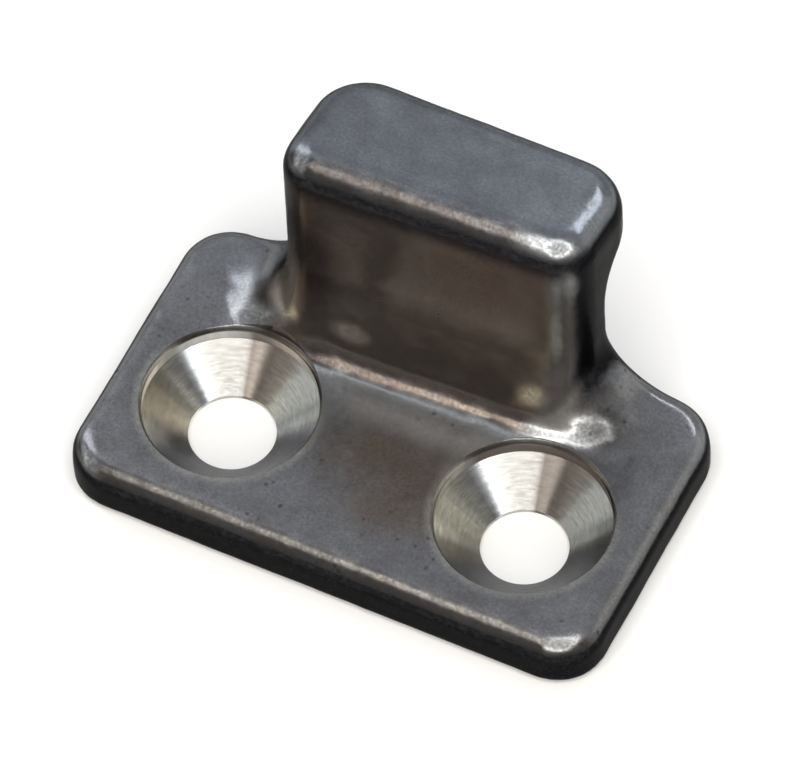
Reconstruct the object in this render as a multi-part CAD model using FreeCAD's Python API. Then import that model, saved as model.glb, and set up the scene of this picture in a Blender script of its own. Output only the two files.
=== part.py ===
import FreeCAD, Part
import math
import os

# Door strike plate: one small investment casting, in millimetres.
# Origin: midway between the two screw holes, on the flat seating face under the plate.
# +X runs along the plate, +Y towards the upright block, +Z up and out of the door frame.

# Seating plate
plate_depth = 17.2
plate_thickness = 3.0
front_corner_radius = 2.6
rear_corner_radius = 2.8
upper_edge_radius = 1.3
lower_edge_chamfer = 0.3

# Screw holes, each with a turned recess and cone for the screw's head
hole_spacing = 16.6
hole_to_front_edge = 6.9
hole_to_end = 6.6
hole_diameter = 4.5
countersink_diameter = 9.3
countersink_recess = 0.8
hole_land = 0.2
countersink_rim_chamfer = 0.25

# Upright block: a neck off the plate's rear edge, and a head that hooks out behind it
block_width = 17.0
block_height = 16.9
neck_thickness = 4.1
hook_reach = 3.6
head_fall = 1.6
hook_rear_height = 3.0
hook_slope_height = 1.3
hook_inner_radius = 2.4
block_front_radius = 2.0
head_rear_radius = 3.0
head_edge_radius = 1.6

# The foot of the block: its front leans out over the plate, and it flares into the plate,
# widely along its sides and tightly along its front
foot_lean = 1.5
foot_lean_height = 4.7
foot_lean_radius = 8.0
foot_side_radius = 4.2
foot_front_radius = 1.5

# The flare of the foot stops at least this far short of the next rounding
flare_margin = 0.3

# A cutter reaches this far past the metal that it cuts
cutter_overrun = 1.0
# Two coordinates closer than this are the same place
same_place = 0.001

plate_front = -hole_to_front_edge
plate_rear = plate_front + plate_depth
half_length = hole_spacing / 2 + hole_to_end
half_width = block_width / 2
block_front = plate_rear - neck_thickness
foot_front = block_front - foot_lean
foot_top = plate_thickness + foot_lean_height
hook_tip = plate_rear + hook_reach
hook_top = block_height - head_fall
hook_bottom = hook_top - hook_rear_height
hook_root = hook_bottom - hook_slope_height

# The flare of the foot is limited by its two walls: the neck up to the rounding under the hook,
# and the plate's upper face out to the rounding of its ends
hook_slope = math.atan2(hook_slope_height, hook_reach)
inner_rounding_drop = hook_inner_radius * math.tan((math.pi / 2 - hook_slope) / 2)
free_neck = hook_root - inner_rounding_drop - plate_thickness
free_shoulder = half_length - half_width - upper_edge_radius
flare_radius = min(foot_side_radius, free_neck - flare_margin, free_shoulder - flare_margin)


def point(x, y, z):
    return FreeCAD.Vector(x, y, z)


def middle(edge):
    return edge.valueAt((edge.FirstParameter + edge.LastParameter) / 2)


def near(value, target):
    return abs(value - target) < same_place


def all_at(edge, axis, target):
    """Whether both ends and the middle of an edge have this coordinate."""
    places = [vertex.Point for vertex in edge.Vertexes] + [middle(edge)]
    return all(near(getattr(place, axis), target) for place in places)


def plate_blank():
    """The flat plate, with its two front corners rounded in plan."""
    blank = Part.makeBox(2 * half_length, plate_depth, plate_thickness, point(-half_length, plate_front, 0))
    corners = [edge for edge in blank.Edges
               if all_at(edge, "y", plate_front) and near(abs(middle(edge).x), half_length)
               and not near(edge.Vertexes[0].Z, edge.Vertexes[-1].Z)]
    return blank.makeFillet(front_corner_radius, corners)


def block_blank():
    """The neck and its hooked head: one side profile, drawn out to the block's width."""
    outline = [
        point(-half_width, foot_front, 0),
        point(-half_width, foot_front, plate_thickness),
        point(-half_width, block_front, foot_top),
        point(-half_width, block_front, block_height),
        point(-half_width, hook_tip, hook_top),
        point(-half_width, hook_tip, hook_bottom),
        point(-half_width, plate_rear, hook_root),
        point(-half_width, plate_rear, 0),
    ]
    profile = Part.Face(Part.makePolygon(outline + outline[:1]))
    blank = profile.extrude(point(block_width, 0, 0))
    inner = [edge for edge in blank.Edges
             if all_at(edge, "y", plate_rear) and all_at(edge, "z", hook_root)]
    blank = blank.makeFillet(hook_inner_radius, inner)
    lean_end = [edge for edge in blank.Edges
                if all_at(edge, "y", block_front) and all_at(edge, "z", foot_top)]
    blank = blank.makeFillet(foot_lean_radius, lean_end)
    rear_corners = [edge for edge in blank.Edges
                    if all_at(edge, "y", hook_tip) and near(abs(middle(edge).x), half_width)]
    return blank.makeFillet(head_rear_radius, rear_corners)


def on_top(edge):
    """Whether an edge lies in the head's top face, which falls towards the rear."""
    slope = head_fall / (hook_tip - block_front)
    places = [vertex.Point for vertex in edge.Vertexes] + [middle(edge)]
    return all(near(place.z, block_height - slope * (place.y - block_front)) for place in places)


def rear_corner_cutters():
    """What is taken off the two rear corners, as high as the flare of the block's foot."""
    height = plate_thickness + flare_radius + 2 * cutter_overrun
    size = rear_corner_radius + cutter_overrun
    cutters = []
    for side in (-1, 1):
        centre_x = side * (half_length - rear_corner_radius)
        centre_y = plate_rear - rear_corner_radius
        corner_x = min(centre_x, centre_x + side * size)
        waste = Part.makeBox(size, size, height, point(corner_x, centre_y, -cutter_overrun))
        kept = Part.makeCylinder(rear_corner_radius, height, point(centre_x, centre_y, -cutter_overrun))
        cutters.append(waste.cut(kept))
    return cutters


def flared(casting):
    """The flare round the foot: wide at its sides, tight along its front, changing round its corners."""
    foot = [edge for edge in casting.Edges
            if all_at(edge, "z", plate_thickness) and foot_front - same_place < middle(edge).y
            and abs(middle(edge).x) < half_width + same_place and not all_at(edge, "y", plate_rear)]
    radii = []
    for number, edge in enumerate(casting.Edges, 1):
        if any(edge.isSame(other) for other in foot):
            ends = [edge.valueAt(edge.FirstParameter), edge.valueAt(edge.LastParameter)]
            sizes = [foot_front_radius if near(end.y, foot_front) else flare_radius for end in ends]
            radii.append((number, sizes[0], sizes[1]))
    document = FreeCAD.newDocument()
    base = document.addObject("Part::Feature", "base")
    base.Shape = casting
    rolled = document.addObject("Part::Fillet", "rolled")
    rolled.Base = base
    rolled.Edges = radii
    document.recompute()
    return rolled.Shape.copy()


def screw_cutter(x):
    """A revolved cutter: the hole, its cone, and the recess above the cone with its chamfered rim."""
    hole_radius = hole_diameter / 2
    rim_radius = countersink_diameter / 2
    cone_top = plate_thickness - countersink_recess
    above = plate_thickness + flare_radius
    mouth_radius = rim_radius + countersink_rim_chamfer
    outline = [
        point(0, 0, -cutter_overrun),
        point(hole_radius, 0, -cutter_overrun),
        point(hole_radius, 0, hole_land),
        point(rim_radius, 0, cone_top),
        point(rim_radius, 0, plate_thickness - countersink_rim_chamfer),
        point(mouth_radius, 0, plate_thickness),
        point(mouth_radius, 0, above),
        point(0, 0, above),
    ]
    profile = Part.Face(Part.makePolygon(outline + outline[:1]))
    cutter = profile.revolve(point(0, 0, 0), point(0, 0, 1), 360)
    cutter.translate(point(x, 0, 0))
    return cutter


def strike_plate():
    casting = plate_blank().fuse(block_blank()).removeSplitter()

    # The block's two front corners, down its neck and its leaning foot, then the flare into the plate
    front_corners = [edge for edge in casting.Edges
                     if near(abs(middle(edge).x), half_width)
                     and middle(edge).z > plate_thickness + same_place
                     and foot_front - same_place < middle(edge).y < block_front + same_place]
    casting = flared(casting.makeFillet(block_front_radius, front_corners))

    for cutter in rear_corner_cutters():
        casting = casting.cut(cutter)
    casting = casting.removeSplitter()

    # The rounding along the plate's upper edge runs on up the rear of the flare and the neck,
    # and round under the hook, because each of those edges is smooth where it meets the next
    upper_front = [edge for edge in casting.Edges
                   if all_at(edge, "z", plate_thickness) and all_at(edge, "y", plate_front)]
    casting = casting.makeFillet(upper_edge_radius, upper_front)
    head_top = [edge for edge in casting.Edges if on_top(edge)]
    casting = casting.makeFillet(head_edge_radius, head_top)
    lower = [edge for edge in casting.Edges if all_at(edge, "z", 0)]
    casting = casting.makeChamfer(lower_edge_chamfer, lower)

    for side in (-1, 1):
        casting = casting.cut(screw_cutter(side * hole_spacing / 2))
    return casting.removeSplitter()


os.makedirs("parts", exist_ok=True)
strike_plate().exportStep("parts/strike_plate.step")
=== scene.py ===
import math

import bpy
import numpy as np
from mathutils import Matrix, Vector


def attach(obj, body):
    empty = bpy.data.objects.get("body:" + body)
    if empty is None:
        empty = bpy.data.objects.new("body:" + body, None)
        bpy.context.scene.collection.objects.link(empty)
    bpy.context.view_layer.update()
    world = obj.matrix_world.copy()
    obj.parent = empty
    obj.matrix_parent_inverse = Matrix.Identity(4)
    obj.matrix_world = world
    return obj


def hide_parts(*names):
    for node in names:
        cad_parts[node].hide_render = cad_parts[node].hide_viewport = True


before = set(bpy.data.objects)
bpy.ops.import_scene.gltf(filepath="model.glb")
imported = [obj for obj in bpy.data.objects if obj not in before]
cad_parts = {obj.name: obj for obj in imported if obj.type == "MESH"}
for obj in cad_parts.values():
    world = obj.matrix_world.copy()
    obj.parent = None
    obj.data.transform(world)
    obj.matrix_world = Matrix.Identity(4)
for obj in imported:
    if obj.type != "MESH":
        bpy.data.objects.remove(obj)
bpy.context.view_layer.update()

MM = 0.001

# Sizes that the casting's own source gives, in millimetres
HOLE_X = 8.3
HOLE_RADIUS = 2.25
HOLE_LAND = 0.2
RECESS_RADIUS = 4.65
CONE_TOP = 2.2
BLOCK_FRONT = 6.2
PLATE_REAR = 10.3
PLATE_TOP = 3.0
# The turned faces lie this much deeper than the casting's own recess, and stop short of its wall
RECUT = 0.03
TURNED_RADIUS = 4.56
# The countersink's own wall shines up to this height
WALL_TURNED = 2.7
# The block's front stands back from the plate's front edge by this much, and a little more to the right
FRONT_BACK = 0.03
FRONT_SKEW = 0.042
# Each recess is filled out to this radius before it is turned again
PLUG_RADIUS = 4.93
VOXEL = 0.16
# Passes of smoothing: over the whole casting, and where the foot sweeps down beside a recess
EVEN_PASSES = 8
SWEEP_PASSES = 70
# The sweep is full at the first distance from a hole's axis, and ends at the second
SWEEP_FULL = 5.4
SWEEP_END = 6.2
# The turned cutter starts this far under the casting and clears this much above it
CUT_BELOW = 1.0
CUT_ABOVE = 8.0
# The recess's chamfered rim starts this far under the plate's top and rises this much
RIM_DROP = 0.12
RIM_RISE = 0.16
# How much wider the recess's upper wall and its rim are than what lies under them
WALL_GROW = 1.01
RIM_GROW = 1.03
# Turned faces are bright up to this height
BRIGHT_TOP = 2.55
SMOOTH_ANGLE = 32

# The camera: degrees round from the front and up, its roll, and its lens in pixels
CAMERA_TURN = 28.692
CAMERA_RISE = 55.515
CAMERA_ROLL = -3.013
FOCAL_PIXELS = 12000.0
IMAGE_WIDTH = 800.0
PIXELS_PER_MM = 19.682
SHIFT_RIGHT = -0.322
SHIFT_UP = -2.138
LOOK_AT = (0, 2, 3)
SENSOR = 36.0


def hex_linear(code):
    """An sRGB hex colour as the linear colour that shaders and lamps take."""
    channels = [int(code[i:i + 2], 16) / 255 for i in (0, 2, 4)]
    linear = [c / 12.92 if c <= 0.04045 else ((c + 0.055) / 1.055) ** 2.4 for c in channels]
    return (*linear, 1.0)


def only(piece):
    """Leaves this one object selected and active."""
    for other in bpy.context.selected_objects:
        other.select_set(False)
    piece.select_set(True)
    bpy.context.view_layer.objects.active = piece


def modify(piece, kind, **settings):
    """Adds a modifier, sets it, and applies it."""
    only(piece)
    modifier = piece.modifiers.new(kind.lower(), kind)
    for name, value in settings.items():
        setattr(modifier, name, value)
    bpy.ops.object.modifier_apply(modifier=modifier.name)


def select_faces(piece, wanted):
    """In object mode, selects the faces that the test wants and nothing else."""
    mesh = piece.data
    for vertex in mesh.vertices:
        vertex.select = False
    for edge in mesh.edges:
        edge.select = False
    for face in mesh.polygons:
        face.select = wanted(face)


# The casting: a copy of the solid's mesh, with its recesses filled, made even and softened
casting_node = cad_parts["strike_plate"]
casting = bpy.data.objects.new("strike_casting", casting_node.data.copy())
bpy.context.scene.collection.objects.link(casting)
casting.data.materials.clear()
only(casting)
bpy.ops.object.mode_set(mode="EDIT")
bpy.ops.mesh.select_all(action="SELECT")
bpy.ops.mesh.remove_doubles(threshold=0.0005 * MM)
bpy.ops.mesh.normals_make_consistent(inside=False)
bpy.ops.object.mode_set(mode="OBJECT")
bpy.ops.mesh.customdata_custom_splitnormals_clear()
for side in (-1, 1):
    bpy.ops.mesh.primitive_cylinder_add(vertices=64, radius=PLUG_RADIUS * MM, depth=PLATE_TOP * MM,
                                        location=(side * HOLE_X * MM, 0, PLATE_TOP / 2 * MM))
    plug = bpy.context.active_object
    only(casting)
    plug.select_set(True)
    bpy.ops.object.join()
modify(casting, "REMESH", mode="VOXEL", voxel_size=VOXEL * MM, use_smooth_shade=True)


def smoothstep(low, high, value):
    share = np.clip((value - low) / (high - low), 0, 1)
    return share * share * (3 - 2 * share)


def stand_back(piece):
    """Eases the block's front face back, more at its right end, as the real casting has it."""
    count = len(piece.data.vertices)
    flat = np.empty(count * 3)
    piece.data.vertices.foreach_get("co", flat)
    places = flat.reshape(-1, 3) / MM
    x, y = places[:, 0], places[:, 1]
    reach = FRONT_BACK + FRONT_SKEW * np.clip(x, -9, 9)
    weight = smoothstep(2.6, 4.2, y) * (1 - smoothstep(BLOCK_FRONT + 0.8, PLATE_REAR, y))
    weight = weight * smoothstep(PLATE_TOP - 0.1, PLATE_TOP + 0.2, places[:, 2])
    places[:, 1] = y + reach * weight
    piece.data.vertices.foreach_set("co", (places * MM).ravel())
    piece.data.update()


stand_back(casting)
modify(casting, "SMOOTH", factor=0.5, iterations=EVEN_PASSES)

# Beside each recess the foot comes down to the plate in one soft sweep
sweep = casting.vertex_groups.new(name="sweep")
for vertex in casting.data.vertices:
    x, y, z = vertex.co / MM
    reach = math.hypot(abs(x) - HOLE_X, y)
    if 2.0 < y < 8.0 and z > PLATE_TOP - 0.12 and reach < SWEEP_END:
        weight = smoothstep(SWEEP_END, SWEEP_FULL, reach) * smoothstep(2.0, 3.0, y)
        sweep.add([vertex.index], float(weight), "REPLACE")
modify(casting, "SMOOTH", factor=0.5, iterations=SWEEP_PASSES, vertex_group="sweep")
casting.vertex_groups.clear()

# Slow unevenness that the wax pattern and the tumbling leave in a small casting
for name, grain_size, depth in (("swell", 2.6, 0.05), ("ripple", 0.8, 0.018)):
    texture = bpy.data.textures.new(name, "CLOUDS")
    texture.noise_scale = grain_size * MM
    texture.noise_depth = 1
    modify(casting, "DISPLACE", texture=texture, texture_coords="LOCAL", strength=depth * MM,
           mid_level=0.5)

skin = bpy.data.materials.new("black_oxide_cast_steel")
turned = bpy.data.materials.new("turned_steel")


def turned_cutter(x):
    """What the drill and the countersink sweep: a drilled length, a cone, a wall, a rim, and clearance."""
    drilled = HOLE_RADIUS + RECUT
    cone_rise = (TURNED_RADIUS - drilled) * (CONE_TOP - HOLE_LAND) / (RECESS_RADIUS - HOLE_RADIUS)
    bpy.ops.mesh.primitive_cylinder_add(vertices=192, radius=drilled * MM,
                                        depth=(HOLE_LAND + CUT_BELOW) * MM,
                                        location=(x * MM, 0, (HOLE_LAND - CUT_BELOW) / 2 * MM))
    cutter = bpy.context.active_object
    bpy.ops.object.transform_apply(location=True)
    cutter.data.materials.append(skin)
    cutter.data.materials.append(turned)
    upper_rise = PLATE_TOP - RIM_DROP - WALL_TURNED
    lower_rise = WALL_TURNED - HOLE_LAND - cone_rise
    steps = ((cone_rise, TURNED_RADIUS / drilled), (lower_rise, 1.0), (upper_rise, WALL_GROW),
             (RIM_RISE, RIM_GROW), (CUT_ABOVE, 1.0))
    for rise, grow in steps:
        top = max(vertex.co.z for vertex in cutter.data.vertices)
        select_faces(cutter, lambda face: face.normal.z > 0.9 and face.center.z > top - 0.01 * MM)
        bpy.ops.object.mode_set(mode="EDIT")
        bpy.ops.mesh.extrude_region_move(TRANSFORM_OT_translate={"value": (0, 0, rise * MM)})
        bpy.ops.transform.resize(value=(grow, grow, 1), center_override=(x * MM, 0, 0))
        bpy.ops.object.mode_set(mode="OBJECT")
    for face in cutter.data.polygons:
        face.material_index = 1 if face.center.z < BRIGHT_TOP * MM else 0
    return cutter


casting.data.materials.append(skin)
for side in (-1, 1):
    cutter = turned_cutter(side * HOLE_X)
    modify(casting, "BOOLEAN", object=cutter, operation="DIFFERENCE", solver="EXACT",
           material_mode="TRANSFER")
    bpy.data.objects.remove(cutter)
only(casting)
bpy.ops.object.shade_smooth_by_angle(angle=math.radians(SMOOTH_ANGLE))
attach(casting, "root")
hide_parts("strike_plate")


# Settings that many nodes share: a smooth run from 0 to 1, products, the larger of two, colour mixes
SMOOTH = {"interpolation_type": "SMOOTHSTEP"}
TIMES = {"operation": "MULTIPLY"}
LARGER = {"operation": "MAXIMUM"}
BLEND = {"data_type": "RGBA"}
TINT = {"data_type": "RGBA", "blend_type": "MULTIPLY", 0: 1.0}


def add(tree, kind, settings=None, links=None):
    """Adds a shader node, sets its options or sockets, and links its inputs from (node, output)."""
    node = tree.nodes.new(kind)
    for name, value in (settings or {}).items():
        if isinstance(name, str) and hasattr(node, name):
            setattr(node, name, value)
        else:
            node.inputs[name].default_value = value
    for name, (source, output) in (links or {}).items():
        tree.links.new(source.outputs[output], node.inputs[name])
    return node


def soft_spot(tree, place, centre, reach):
    """How near a place is to this centre: 1 there, 0 at the reach; a reach of None leaves that axis out."""
    scale = [1 / (size * MM) if size else 0 for size in reach]
    shift = [-at / size if size else 0 for at, size in zip(centre, reach)]
    mapped = add(tree, "ShaderNodeMapping", {"Location": shift, "Scale": scale},
                 {"Vector": (place, "Object")})
    span = add(tree, "ShaderNodeVectorMath", {"operation": "LENGTH"}, {0: (mapped, 0)})
    return add(tree, "ShaderNodeMapRange", {**SMOOTH, "From Min": 1.0, "From Max": 0.25},
               {"Value": (span, "Value")})


for material in (skin, turned):
    material.use_nodes = True
    material.node_tree.nodes.clear()

# Painted reflections of the bright cones low on the block's front: their centres and reaches in millimetres
CONE_REFLECTIONS = (((-7.6, 0, 4.8), (0.9, None, 0.7)), ((-3.95, 0, 4.95), (1.5, None, 0.85)),
          ((6.2, 0, 5.0), (1.3, None, 0.9)))
# Multipliers of red, green and blue that lighten the plate, and that add painted light to the right end of
# the head
PLATE_GAIN = (1.2, 1.175, 1.15, 1)
HEAD_GAIN = (1.14, 1.16, 1.17, 1)

# Black oxide on cast steel, tumbled: half bright on top and on the rounded edges, near black on the sides,
# which is partly the oxide and partly painted shade; many tones below are painted light and shade
tree = skin.node_tree
coordinates = add(tree, "ShaderNodeTexCoord")
# Where a spot lies and faces: upward, on the block's front below the lip, on a rounded edge towards the
# front
facing = add(tree, "ShaderNodeSeparateXYZ", None, {"Vector": (coordinates, "Normal")})
spot = add(tree, "ShaderNodeSeparateXYZ", None, {"Vector": (coordinates, "Object")})
upward = add(tree, "ShaderNodeMapRange", {**SMOOTH, "From Min": 0.40, "From Max": 0.71},
             {"Value": (facing, "Z")})
forward = add(tree, "ShaderNodeMapRange", {**SMOOTH, "From Min": -0.45, "From Max": -0.85},
              {"Value": (facing, "Y")})
on_block = add(tree, "ShaderNodeMapRange", {**SMOOTH, "From Min": 3.2 * MM, "From Max": 4.2 * MM},
               {"Value": (spot, "Y")})
# Just under the lip the front keeps the near-black side tone, a band of painted shade
under_lip = add(tree, "ShaderNodeMapRange", {**SMOOTH, "From Min": 15.5 * MM, "From Max": 13.7 * MM},
                {"Value": (spot, "Z")})
front_of_block = add(tree, "ShaderNodeMath", TIMES, {0: (forward, 0), 1: (on_block, 0)})
front_of_block = add(tree, "ShaderNodeMath", TIMES, {0: (front_of_block, 0), 1: (under_lip, 0)})
edge_low = add(tree, "ShaderNodeMapRange", {**SMOOTH, "From Min": 0.52, "From Max": 0.70},
               {"Value": (facing, "Z")})
edge_high = add(tree, "ShaderNodeMapRange", {**SMOOTH, "From Min": 0.97, "From Max": 0.88},
                {"Value": (facing, "Z")})
edge = add(tree, "ShaderNodeMath", TIMES, {0: (edge_low, 0), 1: (edge_high, 0)})
edge_front = add(tree, "ShaderNodeMapRange", {**SMOOTH, "From Min": -0.15, "From Max": -0.4},
                 {"Value": (facing, "Y")})
edge = add(tree, "ShaderNodeMath", TIMES, {0: (edge, 0), 1: (edge_front, 0)})

# The oxide's own blue-grey, in clouds, and a warmer stain between the holes
cloud = add(tree, "ShaderNodeTexNoise", {"Scale": 1 / (2.0 * MM), "Detail": 6.0, "Roughness": 0.65},
            {"Vector": (coordinates, "Object")})
top_tone = add(tree, "ShaderNodeValToRGB", None, {"Fac": (cloud, "Fac")})
top_tone.color_ramp.elements[0].position = 0.30
top_tone.color_ramp.elements[0].color = hex_linear("696B6E")
top_tone.color_ramp.elements[1].position = 0.70
top_tone.color_ramp.elements[1].color = hex_linear("7B7F84")
low = add(tree, "ShaderNodeMapRange", {**SMOOTH, "From Min": 6 * MM, "From Max": 4 * MM},
          {"Value": (spot, "Z")})
plate_tone = add(tree, "ShaderNodeMix", {**BLEND, 6: hex_linear("FFFFFF"), 7: PLATE_GAIN}, {0: (low, 0)})
top_tone = add(tree, "ShaderNodeMix", TINT, {6: (top_tone, 0), 7: (plate_tone, 2)})
stain = add(tree, "ShaderNodeTexNoise", {"Scale": 1 / (5.5 * MM), "Detail": 4.0, "Roughness": 0.5},
            {"Vector": (coordinates, "Object")})
stain_share = add(tree, "ShaderNodeMapRange", {**SMOOTH, "From Min": 0.25, "From Max": 0.6},
                  {"Value": (stain, "Fac")})
between = soft_spot(tree, coordinates, (1.2, -1.2, 0), (7.0, 4.6, None))
between = add(tree, "ShaderNodeMath", {**LARGER, 1: 0.15}, {0: (between, 0)})
stain_share = add(tree, "ShaderNodeMath", TIMES, {0: (stain_share, 0), 1: (between, 0)})
stain_share = add(tree, "ShaderNodeMath", TIMES, {0: (stain_share, 0), 1: (low, 0)})
top_tone = add(tree, "ShaderNodeMix", {**BLEND, 7: hex_linear("726963")}, {0: (stain_share, 0), 6: (top_tone, 2)})
# The plate is painted paler where it starts to rise to the foot, a painted reflection of the block's front
block_reflection = add(tree, "ShaderNodeMapRange", {**SMOOTH, "From Min": 1.3 * MM, "From Max": 3.1 * MM},
            {"Value": (spot, "Y")})
block_reflection = add(tree, "ShaderNodeMath", TIMES, {0: (block_reflection, 0), 1: (low, 0)})
off_middle = add(tree, "ShaderNodeMath", {"operation": "ABSOLUTE"}, {0: (spot, "X")})
near_middle = add(tree, "ShaderNodeMapRange", {**SMOOTH, "From Min": 7.5 * MM, "From Max": 5.0 * MM},
                  {"Value": (off_middle, 0)})
block_reflection = add(tree, "ShaderNodeMath", TIMES, {0: (block_reflection, 0), 1: (near_middle, 0)})
flat_top = add(tree, "ShaderNodeMapRange", {**SMOOTH, "From Min": 0.93, "From Max": 0.985},
               {"Value": (facing, "Z")})
block_reflection = add(tree, "ShaderNodeMath", TIMES, {0: (block_reflection, 0), 1: (flat_top, 0)})
block_reflection = add(tree, "ShaderNodeMath", {**TIMES, 1: 0.8}, {0: (block_reflection, 0)})
top_tone = add(tree, "ShaderNodeMix", {**BLEND, 7: hex_linear("B6BABD")}, {0: (block_reflection, 0), 6: (top_tone, 2)})
# Painted highlight tones on the rounded edges that face the front, broken up by a fine noise: brownish
# along their runs, painted pale at their corners
rubbed = add(tree, "ShaderNodeTexNoise", {"Scale": 1 / (0.28 * MM), "Detail": 3.0, "Roughness": 0.7},
             {"Vector": (coordinates, "Object")})
rub_share = add(tree, "ShaderNodeMapRange", {**SMOOTH, "From Min": 0.42, "From Max": 0.66},
                {"Value": (rubbed, "Fac")})
edge_highlight_share = add(tree, "ShaderNodeMath", TIMES, {0: (edge, 0), 1: (rub_share, 0)})
edge_highlight_share = add(tree, "ShaderNodeMath", {"operation": "MULTIPLY_ADD", 1: 0.25},
                 {0: (edge_highlight_share, 0), 2: (edge, 0)})
edge_highlight_share = add(tree, "ShaderNodeMath", {**TIMES, 1: 0.8}, {0: (edge_highlight_share, 0)})
sideways = add(tree, "ShaderNodeMath", {"operation": "ABSOLUTE"}, {0: (facing, "X")})
corner = add(tree, "ShaderNodeMapRange", {**SMOOTH, "From Min": 0.03, "From Max": 0.16},
             {"Value": (sideways, 0)})
corner_end = add(tree, "ShaderNodeMapRange", {**SMOOTH, "From Min": 0.6, "From Max": 0.35},
                 {"Value": (sideways, 0)})
corner = add(tree, "ShaderNodeMath", TIMES, {0: (corner, 0), 1: (corner_end, 0)})
high = add(tree, "ShaderNodeMapRange", {**SMOOTH, "From Min": 12.0 * MM, "From Max": 13.0 * MM},
           {"Value": (spot, "Z")})
lip_end = add(tree, "ShaderNodeMapRange", {**SMOOTH, "From Min": 4.2 * MM, "From Max": 6.0 * MM},
              {"Value": (spot, "X")})
lip_end = add(tree, "ShaderNodeMath", TIMES, {0: (lip_end, 0), 1: (high, 0)})
corner = add(tree, "ShaderNodeMath", LARGER, {0: (corner, 0), 1: (lip_end, 0)})
at_foot = add(tree, "ShaderNodeMapRange", {**SMOOTH, "From Min": 2.0 * MM, "From Max": 3.0 * MM},
              {"Value": (spot, "Y")})
at_foot = add(tree, "ShaderNodeMath", TIMES, {0: (at_foot, 0), 1: (low, 0)})
foot_end = add(tree, "ShaderNodeMapRange", {**SMOOTH, "From Min": 5.5 * MM, "From Max": 7.0 * MM},
               {"Value": (spot, "X")})
foot_end = add(tree, "ShaderNodeMath", TIMES, {0: (foot_end, 0), 1: (at_foot, 0)})
corner = add(tree, "ShaderNodeMath", LARGER, {0: (corner, 0), 1: (foot_end, 0)})
edge_highlight_tone = add(tree, "ShaderNodeMix", {**BLEND, 6: hex_linear("5B5855"), 7: hex_linear("4F4A47")},
                {0: (high, 0)})
foot_left = add(tree, "ShaderNodeMapRange", {**SMOOTH, "From Min": 0.5 * MM, "From Max": -2.5 * MM},
                {"Value": (spot, "X")})
foot_highlight_tone = add(tree, "ShaderNodeMix", {**BLEND, 6: hex_linear("6B6058"), 7: hex_linear("574D46")},
                {0: (foot_left, 0)})
edge_highlight_tone = add(tree, "ShaderNodeMix", BLEND, {0: (at_foot, 0), 6: (edge_highlight_tone, 2), 7: (foot_highlight_tone, 2)})
edge_highlight_tone = add(tree, "ShaderNodeMix", {**BLEND, 7: hex_linear("8E9092")},
                {0: (corner, 0), 6: (edge_highlight_tone, 2)})
wear_and_painted_light = add(tree, "ShaderNodeMix", BLEND, {0: (edge_highlight_share, 0), 6: (top_tone, 2), 7: (edge_highlight_tone, 2)})
# The steep faces are near black, partly the oxide and partly painted shade; the recesses' walls are painted
# paler on their near side and darker on their far side, as painted light and shade
past = add(tree, "ShaderNodeMath", {"operation": "ABSOLUTE"}, {0: (spot, "X")})
past = add(tree, "ShaderNodeMath", {"operation": "SUBTRACT", 1: HOLE_X * MM}, {0: (past, 0)})
from_hole = add(tree, "ShaderNodeCombineXYZ", None, {"X": (past, 0), "Y": (spot, "Y")})
from_hole = add(tree, "ShaderNodeVectorMath", {"operation": "LENGTH"}, {0: (from_hole, 0)})
recess = add(tree, "ShaderNodeMapRange", {**SMOOTH, "From Min": 4.95 * MM, "From Max": 4.85 * MM},
             {"Value": (from_hole, "Value")})
mottle = add(tree, "ShaderNodeMix", {**BLEND, 6: hex_linear("19191B"), 7: hex_linear("262628")},
             {0: (rub_share, 0)})
recess_far = add(tree, "ShaderNodeMapRange", {**SMOOTH, "From Min": 1.2 * MM, "From Max": 2.6 * MM},
                 {"Value": (spot, "Y")})
recess_light_and_shade = add(tree, "ShaderNodeMix", {**BLEND, 6: hex_linear("B4B1AA"), 7: hex_linear("4C4743")},
                  {0: (recess_far, 0)})
side = add(tree, "ShaderNodeMix", BLEND, {0: (recess, 0), 6: (mottle, 2), 7: (recess_light_and_shade, 2)})
# The block's front is a warm brown that is a painted reflection, darker to the left, low down and at its
# left end as painted shade, with painted sheens down its corners and painted reflections of the cones low
# on it
shade_left = add(tree, "ShaderNodeMapRange", {**SMOOTH, "From Min": -7 * MM, "From Max": 3 * MM},
                 {"Value": (spot, "X")})
shade_low = add(tree, "ShaderNodeMapRange", {**SMOOTH, "From Min": 3.5 * MM, "From Max": 8 * MM},
                {"Value": (spot, "Z")})
front_tone = add(tree, "ShaderNodeMath", TIMES, {0: (shade_left, 0), 1: (shade_low, 0)})
front_tone = add(tree, "ShaderNodeMath", {"operation": "MULTIPLY_ADD", 1: 0.6},
                 {0: (cloud, "Fac"), 2: (front_tone, 0)})
left_end_shade = soft_spot(tree, coordinates, (-7.0, 0, 9.0), (3.2, None, 5.0))
front_reflection_brown = add(tree, "ShaderNodeMix", {**BLEND, 6: hex_linear("534D48"), 7: hex_linear("5C544E")},
                  {0: (front_tone, 0)})
front_reflection_brown = add(tree, "ShaderNodeMix", {**BLEND, 7: hex_linear("35302D")},
                  {0: (left_end_shade, 0), 6: (front_reflection_brown, 2)})
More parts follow.
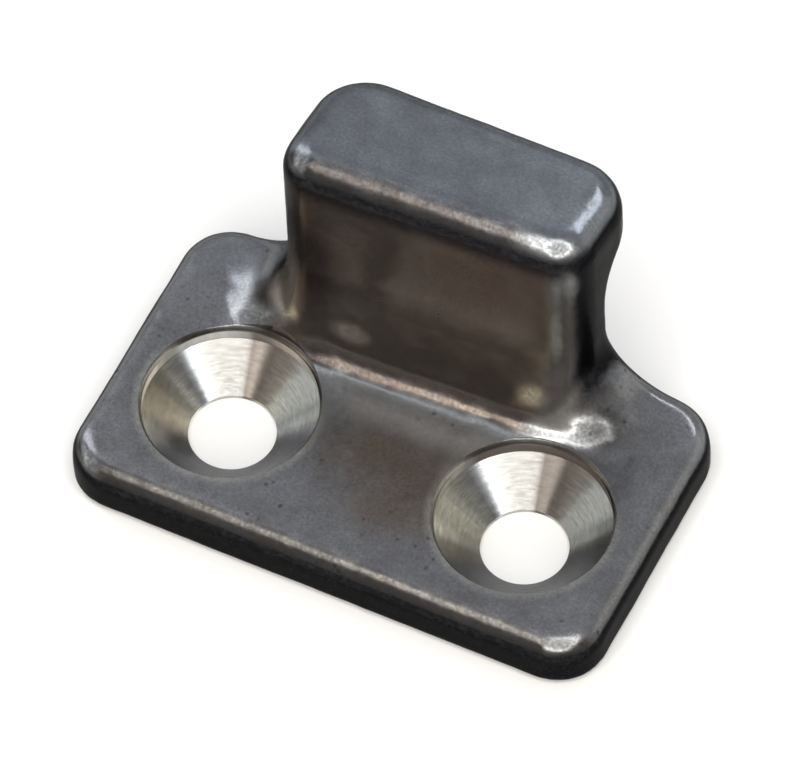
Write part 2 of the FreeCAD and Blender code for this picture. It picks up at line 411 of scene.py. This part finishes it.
# A painted sheen down the block's right front corner, lighter low down
right_corner = add(tree, "ShaderNodeMapRange", {**SMOOTH, "From Min": 0.04, "From Max": 0.2},
                   {"Value": (facing, "X")})
strip_low = add(tree, "ShaderNodeMapRange", {**SMOOTH, "From Min": 10.0 * MM, "From Max": 5.0 * MM},
                {"Value": (spot, "Z")})
corner_sheen = add(tree, "ShaderNodeMix", {**BLEND, 6: hex_linear("434346"), 7: hex_linear("767475")},
            {0: (strip_low, 0)})
strip_left = add(tree, "ShaderNodeMapRange", {**SMOOTH, "From Min": 0.85, "From Max": 0.6},
                 {"Value": (facing, "X")})
corner_sheen = add(tree, "ShaderNodeMix", {**BLEND, 7: hex_linear("6C6966")}, {0: (strip_left, 0), 6: (corner_sheen, 2)})
front_reflection_brown = add(tree, "ShaderNodeMix", BLEND, {0: (right_corner, 0), 6: (front_reflection_brown, 2), 7: (corner_sheen, 2)})
# Painted reflections of the bright cones, broken up by the rub noise
cone_reflections = soft_spot(tree, coordinates, *CONE_REFLECTIONS[0])
for centre, reach in CONE_REFLECTIONS[1:]:
    cone_reflection = soft_spot(tree, coordinates, centre, reach)
    cone_reflections = add(tree, "ShaderNodeMath", LARGER, {0: (cone_reflections, 0), 1: (cone_reflection, 0)})
cone_reflection_share = add(tree, "ShaderNodeMath", TIMES, {0: (cone_reflections, 0), 1: (rub_share, 0)})
cone_reflection_share = add(tree, "ShaderNodeMath", {"operation": "MULTIPLY_ADD", 1: 0.4},
                  {0: (cone_reflection_share, 0), 2: (cone_reflections, 0)})
cone_reflection_share = add(tree, "ShaderNodeMath", {**TIMES, 1: 0.7}, {0: (cone_reflection_share, 0)})
front_reflection_brown = add(tree, "ShaderNodeMix", {**BLEND, 7: hex_linear("989184")},
                  {0: (cone_reflection_share, 0), 6: (front_reflection_brown, 2)})
side = add(tree, "ShaderNodeMix", BLEND, {0: (front_of_block, 0), 6: (side, 2), 7: (front_reflection_brown, 2)})
# A painted highlight at the block's right front corner, just under the lip
lip_corner_sheen = soft_spot(tree, coordinates, (7.9, 6.5, 13.8), (1.3, 1.4, 1.5))
side = add(tree, "ShaderNodeMix", {**BLEND, 7: hex_linear("8C8B8A")}, {0: (lip_corner_sheen, 0), 6: (side, 2)})
# A painted sheen down the block's left front corner
left_corner_sheen = add(tree, "ShaderNodeMapRange", {**SMOOTH, "From Min": -0.2, "From Max": -0.5},
                  {"Value": (facing, "X")})
left_low = add(tree, "ShaderNodeMapRange", {**SMOOTH, "From Min": 13.0 * MM, "From Max": 7.0 * MM},
               {"Value": (spot, "Z")})
left_corner_sheen = add(tree, "ShaderNodeMath", TIMES, {0: (left_corner_sheen, 0), 1: (edge_front, 0)})
left_corner_sheen = add(tree, "ShaderNodeMath", TIMES, {0: (left_corner_sheen, 0), 1: (left_low, 0)})
left_corner_sheen = add(tree, "ShaderNodeMath", TIMES, {0: (left_corner_sheen, 0), 1: (on_block, 0)})
side = add(tree, "ShaderNodeMix", {**BLEND, 7: hex_linear("857E75")}, {0: (left_corner_sheen, 0), 6: (side, 2)})
# Flecks break up the painted edge tones, and a painted dark line runs on both sides of each edge highlight
# to narrow it
fleck = add(tree, "ShaderNodeTexNoise", {"Scale": 1 / (0.2 * MM), "Detail": 4.0, "Roughness": 0.75},
            {"Vector": (coordinates, "Object")})
fleck_tone = add(tree, "ShaderNodeMapRange",
                 {"From Min": 0.36, "From Max": 0.64, "To Min": 0.68, "To Max": 1.3},
                 {"Value": (fleck, "Fac")})
flecked = add(tree, "ShaderNodeMix", TINT, {6: (wear_and_painted_light, 2), 7: (fleck_tone, 0)})
wear_and_painted_light = add(tree, "ShaderNodeMix", BLEND, {0: (edge, 0), 6: (wear_and_painted_light, 2), 7: (flecked, 2)})
above_line = add(tree, "ShaderNodeMapRange", {**SMOOTH, "From Min": 0.875, "From Max": 0.915},
                 {"Value": (facing, "Z")})
above_end = add(tree, "ShaderNodeMapRange", {**SMOOTH, "From Min": 0.975, "From Max": 0.945},
                {"Value": (facing, "Z")})
above_line = add(tree, "ShaderNodeMath", TIMES, {0: (above_line, 0), 1: (above_end, 0)})
below_line = add(tree, "ShaderNodeMapRange", {**SMOOTH, "From Min": 0.80, "From Max": 0.74},
                 {"Value": (facing, "Z")})
beside_line = add(tree, "ShaderNodeMath", LARGER, {0: (above_line, 0), 1: (below_line, 0)})
straight = add(tree, "ShaderNodeMath", {"operation": "SUBTRACT", 0: 1.0}, {1: (corner, 0)})
beside_line = add(tree, "ShaderNodeMath", TIMES, {0: (beside_line, 0), 1: (straight, 0)})
beside_line = add(tree, "ShaderNodeMath", TIMES, {0: (beside_line, 0), 1: (edge_front, 0)})
beside_line = add(tree, "ShaderNodeMath", {**TIMES, 1: 0.5}, {0: (beside_line, 0)})
wear_and_painted_light = add(tree, "ShaderNodeMix", {**BLEND, 7: hex_linear("2F2E2E")},
                {0: (beside_line, 0), 6: (wear_and_painted_light, 2)})
# Painted highlights on the recesses' near rims, and the right end of the head painted lighter
rim_low = add(tree, "ShaderNodeMapRange", {**SMOOTH, "From Min": 5.25 * MM, "From Max": 4.75 * MM},
              {"Value": (from_hole, "Value")})
rim_near = add(tree, "ShaderNodeMapRange", {**SMOOTH, "From Min": 2.5 * MM, "From Max": 0.5 * MM},
               {"Value": (spot, "Y")})
rim_sheen = add(tree, "ShaderNodeMath", TIMES, {0: (rim_low, 0), 1: (rim_near, 0)})
rim_sheen = add(tree, "ShaderNodeMath", TIMES, {0: (rim_sheen, 0), 1: (cloud, "Fac")})
wear_and_painted_light = add(tree, "ShaderNodeMix", {**BLEND, 7: hex_linear("A8A69F")},
                {0: (rim_sheen, 0), 6: (wear_and_painted_light, 2)})
head_right_light = add(tree, "ShaderNodeMapRange", {**SMOOTH, "From Min": -2.0 * MM, "From Max": 7.0 * MM},
                 {"Value": (spot, "X")})
head_right_light = add(tree, "ShaderNodeMath", TIMES, {0: (head_right_light, 0), 1: (high, 0)})
head_right_light = add(tree, "ShaderNodeMix", {**BLEND, 6: hex_linear("FFFFFF"), 7: HEAD_GAIN},
                 {0: (head_right_light, 0)})
wear_and_painted_light = add(tree, "ShaderNodeMix", TINT, {6: (wear_and_painted_light, 2), 7: (head_right_light, 2)})
# Painted highlights and painted shade where the foot flares into the plate, and painted shade on a corner
# of the head
flare_glint = soft_spot(tree, coordinates, (7.3, 5.6, 0), (1.5, 1.5, None))
streak_foot = soft_spot(tree, coordinates, (-10.2, 4.6, 0), (1.2, 1.5, None))
streak_foot = add(tree, "ShaderNodeMath", {**TIMES, 1: 0.25}, {0: (streak_foot, 0)})
bright = add(tree, "ShaderNodeMath", LARGER, {0: (flare_glint, 0), 1: (streak_foot, 0)})
bright = add(tree, "ShaderNodeMath", TIMES, {0: (bright, 0), 1: (low, 0)})
bright = add(tree, "ShaderNodeMath", {**TIMES, 1: 0.85}, {0: (bright, 0)})
wear_and_painted_light = add(tree, "ShaderNodeMix", {**BLEND, 7: hex_linear("C6C8CA")},
                {0: (bright, 0), 6: (wear_and_painted_light, 2)})
flare_right = soft_spot(tree, coordinates, (9.9, 6.4, 0), (1.7, 1.8, None))
flare_left = soft_spot(tree, coordinates, (-9.0, 6.2, 0), (1.5, 2.0, None))
dim = add(tree, "ShaderNodeMath", LARGER, {0: (flare_right, 0), 1: (flare_left, 0)})
dim = add(tree, "ShaderNodeMath", TIMES, {0: (dim, 0), 1: (low, 0)})
dim = add(tree, "ShaderNodeMath", {**TIMES, 1: 0.7}, {0: (dim, 0)})
wear_and_painted_light = add(tree, "ShaderNodeMix", {**BLEND, 7: hex_linear("323131")}, {0: (dim, 0), 6: (wear_and_painted_light, 2)})
head_corner_shade = soft_spot(tree, coordinates, (8.7, 6.9, 15.4), (1.2, 1.8, 1.6))
head_corner_shade = add(tree, "ShaderNodeMath", {**TIMES, 1: 0.65}, {0: (head_corner_shade, 0)})
wear_and_painted_light = add(tree, "ShaderNodeMix", {**BLEND, 7: hex_linear("2C2C2E")},
                {0: (head_corner_shade, 0), 6: (wear_and_painted_light, 2)})
# Upward faces take the top tones with their painted highlights, steep faces the side tones with their
# painted shade
color = add(tree, "ShaderNodeMix", BLEND, {0: (upward, 0), 6: (side, 2), 7: (wear_and_painted_light, 2)})
# The block's right side is painted darkest, as painted shade
right_side_shade = add(tree, "ShaderNodeMapRange", {**SMOOTH, "From Min": 0.62, "From Max": 0.9},
               {"Value": (facing, "X")})
steep = add(tree, "ShaderNodeMapRange", {**SMOOTH, "From Min": 0.7, "From Max": 0.45},
            {"Value": (facing, "Z")})
upper = add(tree, "ShaderNodeMapRange", {**SMOOTH, "From Min": 4.5 * MM, "From Max": 7.5 * MM},
            {"Value": (spot, "Z")})
right_side_shade = add(tree, "ShaderNodeMath", TIMES, {0: (right_side_shade, 0), 1: (steep, 0)})
right_side_shade = add(tree, "ShaderNodeMath", TIMES, {0: (right_side_shade, 0), 1: (upper, 0)})
right_side_shade = add(tree, "ShaderNodeMath", {**TIMES, 1: 0.8}, {0: (right_side_shade, 0)})
color = add(tree, "ShaderNodeMix", {**BLEND, 7: hex_linear("0E0E12")}, {0: (right_side_shade, 0), 6: (color, 2)})

# Small casting pits in the plate, and a fine grain over all
cells = add(tree, "ShaderNodeTexVoronoi", {"Scale": 1 / (0.62 * MM)}, {"Vector": (coordinates, "Object")})
pit_patch = add(tree, "ShaderNodeTexNoise", {"Scale": 1 / (2.8 * MM), "Detail": 2.0},
                {"Vector": (coordinates, "Object")})
pit_near = add(tree, "ShaderNodeMapRange", {**SMOOTH, "From Min": 0.26, "From Max": 0.08},
               {"Value": (cells, "Distance")})
pit_here = add(tree, "ShaderNodeMapRange", {**SMOOTH, "From Min": 0.5, "From Max": 0.62},
               {"Value": (pit_patch, "Fac")})
pits = add(tree, "ShaderNodeMath", TIMES, {0: (pit_near, 0), 1: (pit_here, 0)})
pits = add(tree, "ShaderNodeMath", TIMES, {0: (pits, 0), 1: (low, 0)})
pit_tone = add(tree, "ShaderNodeMath", {**TIMES, 1: 0.55}, {0: (pits, 0)})
color = add(tree, "ShaderNodeMix", {**BLEND, 7: hex_linear("26262A")}, {0: (pit_tone, 0), 6: (color, 2)})

grain = add(tree, "ShaderNodeTexNoise", {"Scale": 1 / (0.14 * MM), "Detail": 3.0, "Roughness": 0.6},
            {"Vector": (coordinates, "Object")})
grain_height = add(tree, "ShaderNodeMath", {"operation": "SUBTRACT"}, {0: (grain, "Fac"), 1: (pits, 0)})
bump = add(tree, "ShaderNodeBump", {"Strength": 0.5, "Distance": 0.006 * MM}, {"Height": (grain_height, 0)})
grain_tone = add(tree, "ShaderNodeMapRange",
                 {"From Min": 0.3, "From Max": 0.7, "To Min": 0.82, "To Max": 1.18},
                 {"Value": (grain, "Fac")})
color = add(tree, "ShaderNodeMix", TINT, {6: (color, 2), 7: (grain_tone, 0)})
rough_noise = add(tree, "ShaderNodeMapRange",
                  {"From Min": 0.3, "From Max": 0.7, "To Min": 0.19, "To Max": 0.28},
                  {"Value": (cloud, "Fac")})
shader = add(tree, "ShaderNodeBsdfPrincipled",
             {"Metallic": 0.82, "Specular Tint": hex_linear("3F3F3F")},
             {"Base Color": (color, 2), "Roughness": (rough_noise, 0), "Normal": (bump, "Normal")})
add(tree, "ShaderNodeOutputMaterial", None, {"Surface": (shader, "BSDF")})

# Turned steel, left bright: fine rings round each hole smear a light into a wedge across them
tree = turned.node_tree
coordinates = add(tree, "ShaderNodeTexCoord")
spot = add(tree, "ShaderNodeSeparateXYZ", None, {"Vector": (coordinates, "Object")})
# Which hole a spot is in, and where it lies from that hole's axis
which = add(tree, "ShaderNodeMath", {"operation": "SIGN"}, {0: (spot, "X")})
centre = add(tree, "ShaderNodeMath", {**TIMES, 1: HOLE_X * MM}, {0: (which, 0)})
off = add(tree, "ShaderNodeMath", {"operation": "SUBTRACT"}, {0: (spot, "X"), 1: (centre, 0)})
outward = add(tree, "ShaderNodeCombineXYZ", None, {"X": (off, 0), "Y": (spot, "Y")})
radial = add(tree, "ShaderNodeVectorMath", {"operation": "NORMALIZE"}, {0: (outward, 0)})
from_axis = add(tree, "ShaderNodeVectorMath", {"operation": "LENGTH"}, {0: (outward, 0)})
# Tool marks run round the axis, so their pattern changes with the radius alone, nearly
ring_scale = add(tree, "ShaderNodeMath", {**TIMES, 1: 1 / (0.11 * MM)}, {0: (from_axis, "Value")})
across = add(tree, "ShaderNodeVectorMath", {"operation": "SCALE", "Scale": 5.0}, {0: (radial, 0)})
marks_at = add(tree, "ShaderNodeCombineXYZ", None, {"Z": (ring_scale, 0)})
marks_at = add(tree, "ShaderNodeVectorMath", {"operation": "ADD"}, {0: (marks_at, 0), 1: (across, 0)})
rings = add(tree, "ShaderNodeTexNoise", {"Scale": 1.0, "Detail": 4.0, "Roughness": 0.7},
            {"Vector": (marks_at, 0)})
# The light and dull sectors of the cone are painted reflections, set by the angle round the axis
turn = add(tree, "ShaderNodeMath", {"operation": "ARCTAN2"}, {0: (spot, "Y"), 1: (off, 0)})
share = add(tree, "ShaderNodeMath", {"operation": "MULTIPLY_ADD", 1: 0.5 / math.pi, 2: 0.5}, {0: (turn, 0)})
sectors = add(tree, "ShaderNodeValToRGB", None, {"Fac": (share, 0)})
# Angles in degrees round the axis from +X, and the painted tone from each to the next
SECTORS = ((-180, "BBB9AC"), (-150, "B5B3A5"), (-138, "96928A"), (-124, "66666A"), (12, "6E6F72"),
           (20, "8A8B88"),
           (28, "9C9D98"), (46, "AEAFAB"), (60, "B4B5B2"), (68, "B5B2AC"), (80, "AFA8A0"), (92, "77716C"),
           (101.5, "77716C"), (103.5, "979592"), (106, "ACACAA"), (112, "BDBDBB"), (144, "C2C2C1"),
           (149, "C4CCD2"), (156, "9C9C9A"), (164, "ACABA2"))
elements = sectors.color_ramp.elements
for position, (angle, code) in enumerate(SECTORS):
    element = elements[position] if position < 2 else elements.new((angle + 180) / 360)
    element.position = (angle + 180) / 360
    element.color = hex_linear(code)
tone = add(tree, "ShaderNodeMapRange", {"From Min": 0.3, "From Max": 0.7, "To Min": 0.72, "To Max": 1.12},
           {"Value": (rings, 0)})
color = add(tree, "ShaderNodeMix", TINT, {6: (sectors, 0), 7: (tone, 0)})
# The left hole's left side is painted brightest, as a painted highlight
left_hole = add(tree, "ShaderNodeMapRange", {**SMOOTH, "From Min": 0.5, "From Max": -0.5},
                {"Value": (which, 0)})
left_side = add(tree, "ShaderNodeMapRange", {**SMOOTH, "From Min": -0.6 * MM, "From Max": -2.2 * MM},
                {"Value": (off, 0)})
not_near = add(tree, "ShaderNodeMapRange", {**SMOOTH, "From Min": -2.0 * MM, "From Max": -0.8 * MM},
               {"Value": (spot, "Y")})
not_far = add(tree, "ShaderNodeMapRange", {**SMOOTH, "From Min": 1.3 * MM, "From Max": 0.4 * MM},
              {"Value": (spot, "Y")})
brighter = add(tree, "ShaderNodeMath", TIMES, {0: (left_hole, 0), 1: (left_side, 0)})
brighter = add(tree, "ShaderNodeMath", TIMES, {0: (brighter, 0), 1: (not_near, 0)})
brighter = add(tree, "ShaderNodeMath", TIMES, {0: (brighter, 0), 1: (not_far, 0)})
gain = add(tree, "ShaderNodeMapRange", {"To Min": 1.0, "To Max": 2.1}, {"Value": (brighter, 0)})
color = add(tree, "ShaderNodeMix", TINT, {6: (color, 2), 7: (gain, 0)})
# Towards the hole the near flanks of each cone are painted darker, and lighter towards the rim: painted
# shade and painted light
aside = add(tree, "ShaderNodeMath", {"operation": "ABSOLUTE"}, {0: (off, 0)})
aside = add(tree, "ShaderNodeMapRange", {**SMOOTH, "From Min": 1.3 * MM, "From Max": 2.8 * MM},
            {"Value": (aside, 0)})
tilted = add(tree, "ShaderNodeMath", {"operation": "MULTIPLY_ADD", 1: -0.3}, {0: (off, 0), 2: (spot, "Y")})
near_flank = add(tree, "ShaderNodeMapRange", {**SMOOTH, "From Min": 0.2 * MM, "From Max": -0.7 * MM},
                 {"Value": (tilted, 0)})
near_flank = add(tree, "ShaderNodeMath", TIMES, {0: (near_flank, 0), 1: (aside, 0)})
rim_gain = add(tree, "ShaderNodeMapRange",
               {"From Min": 2.5 * MM, "From Max": 4.4 * MM, "To Min": 0.55, "To Max": 1.75},
               {"Value": (from_axis, "Value")})
flank_color = add(tree, "ShaderNodeMix", TINT, {6: (color, 2), 7: (rim_gain, 0)})
color = add(tree, "ShaderNodeMix", BLEND, {0: (near_flank, 0), 6: (color, 2), 7: (flank_color, 2)})
# Painted shade: a darker wedge on the right hole's far side, and a darker flank at the left hole's near
# left
shaded_wedge = soft_spot(tree, coordinates, (HOLE_X + 0.1, 3.4, 0), (1.2, 2.6, None))
shaded_wedge = add(tree, "ShaderNodeMath", {**TIMES, 1: 0.35}, {0: (shaded_wedge, 0)})
color = add(tree, "ShaderNodeMix", {**BLEND, 7: hex_linear("4C4845")}, {0: (shaded_wedge, 0), 6: (color, 2)})
shaded_flank = soft_spot(tree, coordinates, (-HOLE_X - 1.8, -2.0, 0), (1.15, 1.15, None))
shaded_flank = add(tree, "ShaderNodeMath", {**TIMES, 1: 0.75}, {0: (shaded_flank, 0)})
color = add(tree, "ShaderNodeMix", {**BLEND, 7: hex_linear("3E3B37")}, {0: (shaded_flank, 0), 6: (color, 2)})
bump = add(tree, "ShaderNodeBump", {"Strength": 0.4, "Distance": 0.003 * MM}, {"Height": (rings, 0)})
# The wall above the cone is less metallic and duller than the cone, and the right hole's far wall is
# painted darker as painted shade
metal = add(tree, "ShaderNodeMapRange", {**SMOOTH, "From Min": 2.17 * MM, "From Max": 2.12 * MM},
            {"Value": (spot, "Z")})
wall = add(tree, "ShaderNodeMath", {"operation": "SUBTRACT", 0: 1.0}, {1: (metal, 0)})
far_wall = add(tree, "ShaderNodeMapRange", {**SMOOTH, "From Min": 1.2 * MM, "From Max": 2.6 * MM},
               {"Value": (spot, "Y")})
right_hole = add(tree, "ShaderNodeMapRange", {**SMOOTH, "From Min": -0.5, "From Max": 0.5},
                 {"Value": (which, 0)})
wall = add(tree, "ShaderNodeMath", TIMES, {0: (wall, 0), 1: (far_wall, 0)})
wall = add(tree, "ShaderNodeMath", TIMES, {0: (wall, 0), 1: (right_hole, 0)})
color = add(tree, "ShaderNodeMix", {**BLEND, 7: hex_linear("5A504B")}, {0: (wall, 0), 6: (color, 2)})
metal = add(tree, "ShaderNodeMath", {"operation": "MULTIPLY_ADD", 1: 0.8, 2: 0.2}, {0: (metal, 0)})
shader = add(tree, "ShaderNodeBsdfPrincipled", {"Roughness": 0.27, "Anisotropic": 0.95},
             {"Metallic": (metal, 0), "Base Color": (color, 2), "Normal": (bump, "Normal"),
              "Tangent": (radial, 0)})
add(tree, "ShaderNodeOutputMaterial", None, {"Surface": (shader, "BSDF")})


# A pale matt floor for the soft shadow
bpy.ops.mesh.primitive_plane_add(size=4.0, location=(0, 0, -0.02 * MM))
floor = bpy.context.active_object
floor.name = "floor"
pale = bpy.data.materials.new("pale_floor")
pale.use_nodes = True
pale.node_tree.nodes["Principled BSDF"].inputs["Base Color"].default_value = hex_linear("FCFCFC")
pale.node_tree.nodes["Principled BSDF"].inputs["Roughness"].default_value = 0.9
floor.data.materials.append(pale)

world = bpy.data.worlds.new("studio")
bpy.context.scene.world = world
world.use_nodes = True
tree = world.node_tree
# The room is warm and dim in front, cool and brighter high at the rear
ROOM_REAR = (-0.25, 0.80, 0.545)
look = add(tree, "ShaderNodeTexCoord")
rear = add(tree, "ShaderNodeVectorMath", {"operation": "DOT_PRODUCT", 1: ROOM_REAR},
           {0: (look, "Generated")})
share = add(tree, "ShaderNodeMapRange", {"From Min": -1.0, "From Max": 1.0}, {"Value": (rear, "Value")})
room = add(tree, "ShaderNodeValToRGB", None, {"Fac": (share, "Result")})
ramp = room.color_ramp
ramp.elements[0].position = 0.35
ramp.elements[0].color = hex_linear("A69E95")
ramp.elements[1].position = 0.75
ramp.elements[1].color = hex_linear("ADAFB3")
for position, color in ((0.95, hex_linear("B5B8BF")), (1.0, hex_linear("DADFE5"))):
    ramp.elements.new(position).color = color
background = world.node_tree.nodes["Background"]
tree.links.new(room.outputs["Color"], background.inputs["Color"])
background.inputs["Strength"].default_value = 1.0


def toward(turn, rise):
    """The direction at this compass turn from +X and this rise above the floor, in degrees."""
    turn, rise = math.radians(turn), math.radians(rise)
    return Vector((math.cos(turn) * math.cos(rise), math.sin(turn) * math.cos(rise), math.sin(rise)))


def softbox(name, direction, reach, width, height, radiance, color, shape="RECTANGLE"):
    """An area lamp at this direction and distance, aimed at the object; sizes in metres."""
    data = bpy.data.lights.new(name, "AREA")
    data.shape = shape
    data.size = width
    data.size_y = height
    area = width * height if shape == "RECTANGLE" else math.pi * width * height / 4
    data.energy = radiance * math.pi * area
    data.color = color[:3]
    lamp = bpy.data.objects.new(name, data)
    bpy.context.scene.collection.objects.link(lamp)
    turn = direction.to_track_quat("Z", "Y").to_matrix().to_4x4()
    lamp.matrix_world = Matrix.Translation(direction * reach) @ turn
    return lamp


# A ring light round the camera: its reach in metres, and its half angles in degrees
RING_REACH = 0.75
RING_OUTER = math.radians(32.1)
RING_INNER = math.radians(26.5)
ring_width = 2 * RING_REACH * math.tan(RING_OUTER)
ring = softbox("ring_light", toward(CAMERA_TURN - 90, CAMERA_RISE), RING_REACH, ring_width, ring_width, 7.5,
               hex_linear("FFFCF5"), "DISK")
ring.data.use_nodes = True
tree = ring.data.node_tree
where = add(tree, "ShaderNodeNewGeometry")
middle = add(tree, "ShaderNodeVectorMath", {"operation": "DISTANCE", 1: (0.5, 0.5, 0.0)},
             {0: (where, "Parametric")})
ring_hole = 0.5 * math.tan(RING_INNER) / math.tan(RING_OUTER)
lit = add(tree, "ShaderNodeMath", {"operation": "GREATER_THAN", 1: ring_hole}, {0: (middle, "Value")})
glow = add(tree, "ShaderNodeMapRange", {"To Min": 0.17, "To Max": 1.0}, {"Value": (lit, 0)})
tree.links.new(glow.outputs[0], tree.nodes["Emission"].inputs["Strength"])

# Each soft light: its turn and rise in degrees, width and height in metres, radiance and colour
LAMP_REACH = 0.7
LAMPS = (("window_right", 80, 34, 0.31, 0.06, 8.0, "F8FAFF"),
         ("window_left", 162, 37, 0.17, 0.56, 3.3, "F4F6FA"),
         ("card_left", -164, 20, 0.46, 0.28, 0.75, "F6F8F4"),
         ("card_rear", 44, 18, 0.55, 0.36, 0.55, "F0E8D6"))
for name, turn, rise, width, height, radiance, code in LAMPS:
    softbox(name, toward(turn, rise), LAMP_REACH, width, height, radiance, hex_linear(code))

# The camera stands far off on a long lens, to the front right and well above
turn, rise, roll = (math.radians(angle) for angle in (CAMERA_TURN, CAMERA_RISE, CAMERA_ROLL))
back = Vector((math.sin(turn) * math.cos(rise), -math.cos(turn) * math.cos(rise), math.sin(rise)))
right = Vector((math.cos(turn), math.sin(turn), 0))
up = back.cross(right)
rolled_right = right * math.cos(roll) + up * math.sin(roll)
rolled_up = up * math.cos(roll) - right * math.sin(roll)
distance = FOCAL_PIXELS / PIXELS_PER_MM
place = Vector(LOOK_AT) + back * distance - rolled_right * SHIFT_RIGHT - rolled_up * SHIFT_UP
camera_data = bpy.data.cameras.new("camera")
camera_data.lens = FOCAL_PIXELS * SENSOR / IMAGE_WIDTH
camera_data.sensor_width = SENSOR
camera_data.clip_start = 0.01
camera = bpy.data.objects.new("camera", camera_data)
bpy.context.scene.collection.objects.link(camera)
turned_to = Matrix((rolled_right, rolled_up, back)).transposed().to_4x4()
camera.matrix_world = Matrix.Translation(place * MM) @ turned_to
bpy.context.scene.camera = camera

bpy.context.scene.view_settings.view_transform = "Standard"
